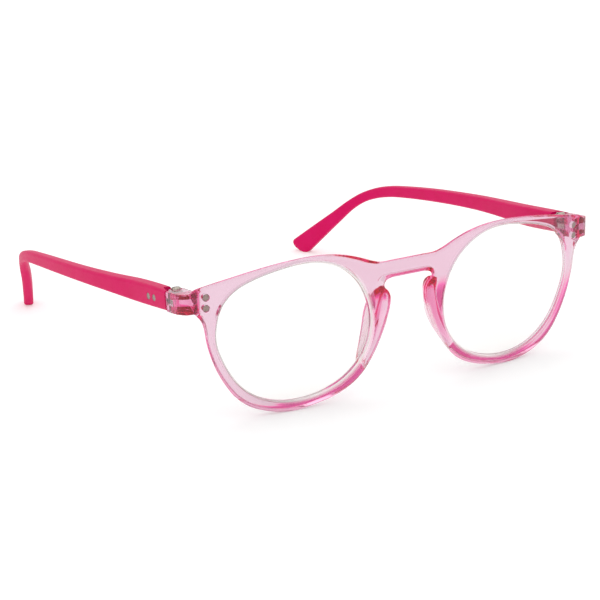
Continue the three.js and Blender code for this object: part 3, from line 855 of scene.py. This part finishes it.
def pin_holes(start, end):
    radius = TEMPLE_PIN_RADIUS + FIT
    return [across_temple("hole", at, [(radius, start), (radius, end)]) for at in TEMPLE_PINS.values()]


def temple():
    cutters = [pocket_cutter(), tongue_plate(FIT), tongue_arm(FIT)]
    cutters += pin_holes(TONGUE_X, SIDE_X + HOLE_MOUTH)
    return combined(temple_bar(), cutters, "DIFFERENCE")


# ---------------------------------------------------------------- metal


def tongue():
    eye = [(EYE_RADIUS, TONGUE_GAP - SLOT_HALF), (EYE_RADIUS, SLOT_HALF - TONGUE_GAP)]
    metal = reshaped(turned("tongue", eye), at_hinge)
    combined(metal, [tongue_arm(), tongue_plate()], "UNION")
    holes = [screw_cutter(SCREW_RADIUS + FIT)] + pin_holes(TONGUE_X - HOLE_MOUTH, TONGUE_X + HOLE_MOUTH)
    combined(metal, holes, "DIFFERENCE")
    return bevelled(metal, TONGUE_BEVEL)


def screw():
    end, top = SCREW_END - HINGE_HALF, SCREW_HEAD_LOW + SCREW_HEAD_HIGH
    profile = [
        (0.0, end), (SCREW_RADIUS - SCREW_POINT[0], end), (SCREW_RADIUS, end + SCREW_POINT[1]),
        (SCREW_RADIUS, SCREW_HEAD_LOW), (SCREW_HEAD_RADIUS, SCREW_HEAD_LOW),
    ]
    profile += [(SCREW_HEAD_RADIUS - inset, top - below) for inset, below in SCREW_DOME]
    profile.append((0.0, top + SCREW_CROWN))
    body = turned("screw", profile)
    reach = 2 * SCREW_HEAD_RADIUS
    drive = [(-reach, -DRIVE_HALF), (reach, -DRIVE_HALF), (reach, DRIVE_HALF), (-reach, DRIVE_HALF)]
    combined(body, [prism("drive", drive, 2, top - DRIVE_DEEP, top + 1)], "DIFFERENCE")
    return reshaped(body, at_hinge)


def stud_profile(radius, start, face):
    """A pin from start to its face, which has a turned edge and a shallow dish."""
    way = 1 if face > start else -1
    edge = way * STUD_EDGE
    return [
        (0.0, start),
        (radius, start),
        (radius, face - edge),
        (radius - 0.3 * STUD_EDGE, face - 0.4 * edge),
        (radius - STUD_EDGE, face),
        (radius - 2.2 * STUD_EDGE, face - 0.5 * edge),
        (0.0, face - way * STUD_DISH),
    ]


def front_stud(at):
    return on_front("stud", at, stud_profile(FRONT_PIN_RADIUS, FRONT_PIN_DEEP, PIN_RECESS))


def temple_stud(at):
    inner = TONGUE_X - TONGUE_HALF_THICK
    return across_temple("stud", at, stud_profile(TEMPLE_PIN_RADIUS, inner, SIDE_X))


# ---------------------------------------------------------------- materials

PLASTIC_IOR = 1.49

# The clear front's colours at -1, 0, 1 and 2 of its colour depth: pale wall, plain tint, painted glow and
# painted deep shade; and how frosted its pale walls are.
WALL_TINT = (1.0, 0.98, 0.96)
FACE_TINT = (0.77, 0.85, 0.81)
PAINTED_GLOW_TINT = (0.99, 0.06, 0.38)
PAINTED_SHADE_TINT = (0.40, 0.003, 0.06)
WALL_ROUGHNESS = 0.3
WALL_CLEARNESS = 0.2
PINK = (0.975, 0.13, 0.56)
PINK_DENSITY = 180              # per metre, as all densities and grain scales are

# The lenses' ground edge, and their faint warm filter.
GROUND_TINT = (1.0, 0.98, 0.95)
GROUND_ROUGHNESS = 0.4
FILTER = (0.95, 0.88, 0.3)
FILTER_DENSITY = 20

RASPBERRY = ((0.625, 0.0018, 0.098), (0.65, 0.0026, 0.11))
HINGE_METAL = ((0.36, 0.31, 0.26), (0.56, 0.51, 0.44))
PIN_METAL = ((0.25, 0.185, 0.17), (0.36, 0.28, 0.26))
BUMP_STRENGTH = 0.5


def new_material(name, **values):
    material = bpy.data.materials.new(name)
    material.use_nodes = True
    shader = material.node_tree.nodes["Principled BSDF"]
    for socket, value in values.items():
        shader.inputs[socket.replace("_", " ")].default_value = value
    return material, shader


def noise(material, scale, detail=4.0, stretch=(1, 1, 1)):
    """Grain fixed to the object; scale is per metre."""
    nodes, links = material.node_tree.nodes, material.node_tree.links
    place = nodes.new("ShaderNodeTexCoord")
    mapping = nodes.new("ShaderNodeMapping")
    mapping.inputs["Scale"].default_value = stretch
    texture = nodes.new("ShaderNodeTexNoise")
    texture.inputs["Scale"].default_value = scale
    texture.inputs["Detail"].default_value = detail
    links.new(place.outputs["Object"], mapping.inputs["Vector"])
    links.new(mapping.outputs["Vector"], texture.inputs["Vector"])
    return texture.outputs["Fac"]


def edge_value(material):
    attribute = material.node_tree.nodes.new("ShaderNodeAttribute")
    attribute.attribute_name = "edge"
    return attribute.outputs["Fac"]


def spread(material, value, low, high, start=0.3, end=0.7):
    """Maps start to end onto low to high."""
    nodes, links = material.node_tree.nodes, material.node_tree.links
    ramp = nodes.new("ShaderNodeMapRange")
    ramp.inputs["From Min"].default_value = start
    ramp.inputs["From Max"].default_value = end
    ramp.inputs["To Min"].default_value = low
    ramp.inputs["To Max"].default_value = high
    links.new(value, ramp.inputs["Value"])
    return ramp.outputs["Result"]


def blended(material, value, first, second, start=0.35, end=0.65):
    """Runs from the first colour at start to the second at end."""
    nodes, links = material.node_tree.nodes, material.node_tree.links
    ramp = nodes.new("ShaderNodeValToRGB")
    ramp.color_ramp.elements[0].position = start
    ramp.color_ramp.elements[0].color = (*first, 1)
    ramp.color_ramp.elements[1].position = end
    ramp.color_ramp.elements[1].color = (*second, 1)
    links.new(value, ramp.inputs["Fac"])
    return ramp.outputs["Color"]


def calculated(material, operation, first, second):
    nodes, links = material.node_tree.nodes, material.node_tree.links
    step = nodes.new("ShaderNodeMath")
    step.operation = operation
    links.new(first, step.inputs[0])
    links.new(second, step.inputs[1])
    return step.outputs["Value"]


def bumped(material, shader, value, depth):
    nodes, links = material.node_tree.nodes, material.node_tree.links
    bump = nodes.new("ShaderNodeBump")
    bump.inputs["Strength"].default_value = BUMP_STRENGTH
    bump.inputs["Distance"].default_value = depth
    links.new(value, bump.inputs["Height"])
    links.new(bump.outputs["Normal"], shader.inputs["Normal"])


def absorbing(material, colour, density):
    nodes, links = material.node_tree.nodes, material.node_tree.links
    volume = nodes.new("ShaderNodeVolumeAbsorption")
    volume.inputs["Color"].default_value = (*colour, 1)
    volume.inputs["Density"].default_value = density
    links.new(volume.outputs["Volume"], nodes["Material Output"].inputs["Volume"])


def tint_with_painted_glow(material, edge):
    """The clear front's colour by its colour depth: pale walls, plain tint, painted glow and painted deep
    shade.
    """
    nodes, links = material.node_tree.nodes, material.node_tree.links
    tint = nodes.new("ShaderNodeValToRGB")
    steps = tint.color_ramp.elements
    steps[0].color = (*WALL_TINT, 1)
    steps[1].color = (*PAINTED_SHADE_TINT, 1)
    for place, colour in ((1 / 3, FACE_TINT), (2 / 3, PAINTED_GLOW_TINT)):
        steps.new(place).color = (*colour, 1)
    links.new(spread(material, edge, 0.0, 1.0, start=-1.0, end=2.0), tint.inputs["Fac"])
    return tint.outputs["Color"]


def clear_pink():
    """Clear plastic that absorbs more the further light runs, with glow and deep shade also painted into
    its base colour; its pale walls are frosted outside only.
    """
    material, shader = new_material("clear_pink", IOR=PLASTIC_IOR)
    nodes, links = material.node_tree.nodes, material.node_tree.links
    edge = edge_value(material)
    # the base colour carries the painted glow and painted deep shade
    links.new(tint_with_painted_glow(material, edge), shader.inputs["Base Color"])
    inside = nodes.new("ShaderNodeNewGeometry").outputs["Backfacing"]
    grain = spread(material, noise(material, scale=900, detail=5), 0.012, 0.05)
    frost = spread(material, edge, WALL_ROUGHNESS, 0.0, start=-1.0, end=0.0)
    frost = calculated(material, "SUBTRACT", frost, inside)
    links.new(calculated(material, "MAXIMUM", grain, frost), shader.inputs["Roughness"])
    clearness = spread(material, edge, WALL_CLEARNESS, 1.0, start=-1.0, end=0.0)
    links.new(calculated(material, "MAXIMUM", clearness, inside), shader.inputs["Transmission Weight"])
    absorbing(material, PINK, PINK_DENSITY)
    return material


def lens_clear():
    """Clear, with a ground edge."""
    material, shader = new_material("lens_clear", IOR=PLASTIC_IOR, Transmission_Weight=1.0)
    links = material.node_tree.links
    edge = edge_value(material)
    tint = blended(material, edge, (1, 1, 1), GROUND_TINT, start=0.0, end=1.0)
    links.new(tint, shader.inputs["Base Color"])
    links.new(spread(material, edge, 0.0, GROUND_ROUGHNESS, start=0.0, end=1.0), shader.inputs["Roughness"])
    absorbing(material, FILTER, FILTER_DENSITY)
    return material


def raspberry():
    material, shader = new_material("raspberry", IOR=1.45, Specular_IOR_Level=0.12)
    links = material.node_tree.links
    links.new(blended(material, noise(material, scale=220), *RASPBERRY), shader.inputs["Base Color"])
    links.new(spread(material, noise(material, scale=1500), 0.36, 0.48), shader.inputs["Roughness"])
    bumped(material, shader, noise(material, scale=5200, detail=3), 0.012 * MM)
    return material


def metal(name, colours, rough_low, rough_high):
    """Finely brushed, with its lines level."""
    material, shader = new_material(name, Metallic=1.0)
    links = material.node_tree.links
    links.new(blended(material, noise(material, scale=3000), *colours), shader.inputs["Base Color"])
    brushed = noise(material, scale=2500, detail=3, stretch=(1, 1, 9))
    links.new(spread(material, brushed, rough_low, rough_high), shader.inputs["Roughness"])
    bumped(material, shader, brushed, 0.006 * MM)
    return material


LOOKS = {
    "clear_pink": clear_pink(),
    "lens_clear": lens_clear(),
    "raspberry": raspberry(),
    "hinge_metal": metal("hinge_metal", HINGE_METAL, 0.14, 0.3),
    "pin_metal": metal("pin_metal", PIN_METAL, 0.22, 0.38),
}

# ---------------------------------------------------------------- pieces


def put(name, piece, slot, body, *nodes):
    """Stands a piece on the table, with its material, on its body and in place of its CAD nodes."""
    piece.name = name
    piece.data.name = name
    reshaped(piece, stood)
    piece.data.materials.clear()
    piece.data.materials.append(LOOKS[slot])
    for polygon in piece.data.polygons:
        polygon.use_smooth = True
    piece.data.set_sharp_from_angle(angle=SHARP_ANGLE)
    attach(piece, body)
    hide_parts(*nodes)


put("front_moulding", clear_front(), "clear_pink", "front", "front_frame")
for side, turn in (("left", lambda piece: piece), ("right", mirrored)):
    arm = f"temple_{side}"
    put(f"lens_blank_{side}", turn(lens()), "lens_clear", "front", f"lens_{side}")
    put(f"temple_moulding_{side}", turn(temple()), "raspberry", arm, arm)
    put(f"hinge_leaf_{side}", turn(tongue()), "hinge_metal", arm, f"hinge_tongue_{side}")
    put(f"hinge_bolt_{side}", turn(screw()), "hinge_metal", "front", f"hinge_screw_{side}")
    for place, at in FRONT_PINS.items():
        stud = turn(front_stud(at))
        put(f"front_stud_{side}_{place}", stud, "pin_metal", "front", f"front_pin_{side}_{place}")
    for place, at in TEMPLE_PINS.items():
        stud = turn(temple_stud(at))
        put(f"temple_stud_{side}_{place}", stud, "pin_metal", arm, f"temple_pin_{side}_{place}")

# ---------------------------------------------------------------- floor, light and camera

FLOOR_HALF = 3.0                # metres, as the lights' places and sizes are
SURROUND_LIGHT = 0.98

CAMERA_AZIMUTH = math.radians(-30.752)
CAMERA_ELEVATION = math.radians(18.97)
CAMERA_ROLL = math.radians(-0.525)
CAMERA_PLACE = (-351.07, -527.73, 221.44)     # level with the lenses, mm
CAMERA_LENS = 138.0


def floor():
    half = FLOOR_HALF
    corners = [(-half, -half, 0), (half, -half, 0), (half, half, 0), (-half, half, 0)]
    mesh = bpy.data.meshes.new("floor")
    mesh.from_pydata(corners, [], [(0, 1, 2, 3)])
    material, _ = new_material(
        "floor_white", Base_Color=(0.8, 0.8, 0.8, 1), Roughness=0.9, Specular_IOR_Level=0.0,
        Emission_Color=(1, 1, 1, 1), Emission_Strength=0.26)
    mesh.materials.append(material)
    piece = linked("floor", mesh)


def softbox(name, place, aim, side, power):
    light = bpy.data.lights.new(name, "AREA")
    light.shape = "RECTANGLE"
    light.size, light.size_y = side, side
    light.energy = power
    piece = linked(name, light)
    piece.location = place
    piece.rotation_euler = (Vector(place) - Vector(aim)).to_track_quat("Z", "Y").to_euler()


def studio():
    scene = bpy.context.scene
    world = bpy.data.worlds.new("studio")
    world.use_nodes = True
    background = world.node_tree.nodes["Background"]
    background.inputs["Color"].default_value = (1, 1, 1, 1)
    background.inputs["Strength"].default_value = SURROUND_LIGHT
    scene.world = world
    scene.view_settings.view_transform = "Standard"
    scene.cycles.max_bounces = LIGHT_BOUNCES
    scene.cycles.glossy_bounces = LIGHT_BOUNCES
    scene.cycles.transmission_bounces = LIGHT_BOUNCES
    softbox("overhead", place=(0.2, 0.1, 1.3), aim=(0, 0, 0), side=1.2, power=2.5)
    softbox("front_left", place=(-0.9, -0.9, 0.7), aim=(0, 0, 0.02), side=0.5, power=0.3)


def camera():
    sideways = math.cos(CAMERA_ELEVATION)
    back = Vector((
        math.sin(CAMERA_AZIMUTH) * sideways,
        -math.cos(CAMERA_AZIMUTH) * sideways,
        math.sin(CAMERA_ELEVATION),
    ))
    right = (-back).cross(Vector((0, 0, 1))).normalized()
    up = right.cross(-back)
    rolled_right = right * math.cos(CAMERA_ROLL) + up * math.sin(CAMERA_ROLL)
    rolled_up = up * math.cos(CAMERA_ROLL) - right * math.sin(CAMERA_ROLL)
    turn = Matrix((rolled_right, rolled_up, back)).transposed()
    turn = Matrix.Rotation(STAND_TILT, 3, "X") @ turn
    place = stood(np.array([CAMERA_PLACE]))[0]
    data = bpy.data.cameras.new("camera")
    data.sensor_width = 36.0
    data.lens = CAMERA_LENS
    piece = linked("camera", data)
    piece.matrix_world = Matrix.Translation(Vector(place)) @ turn.to_4x4()
    bpy.context.scene.camera = piece


floor()
studio()
camera()
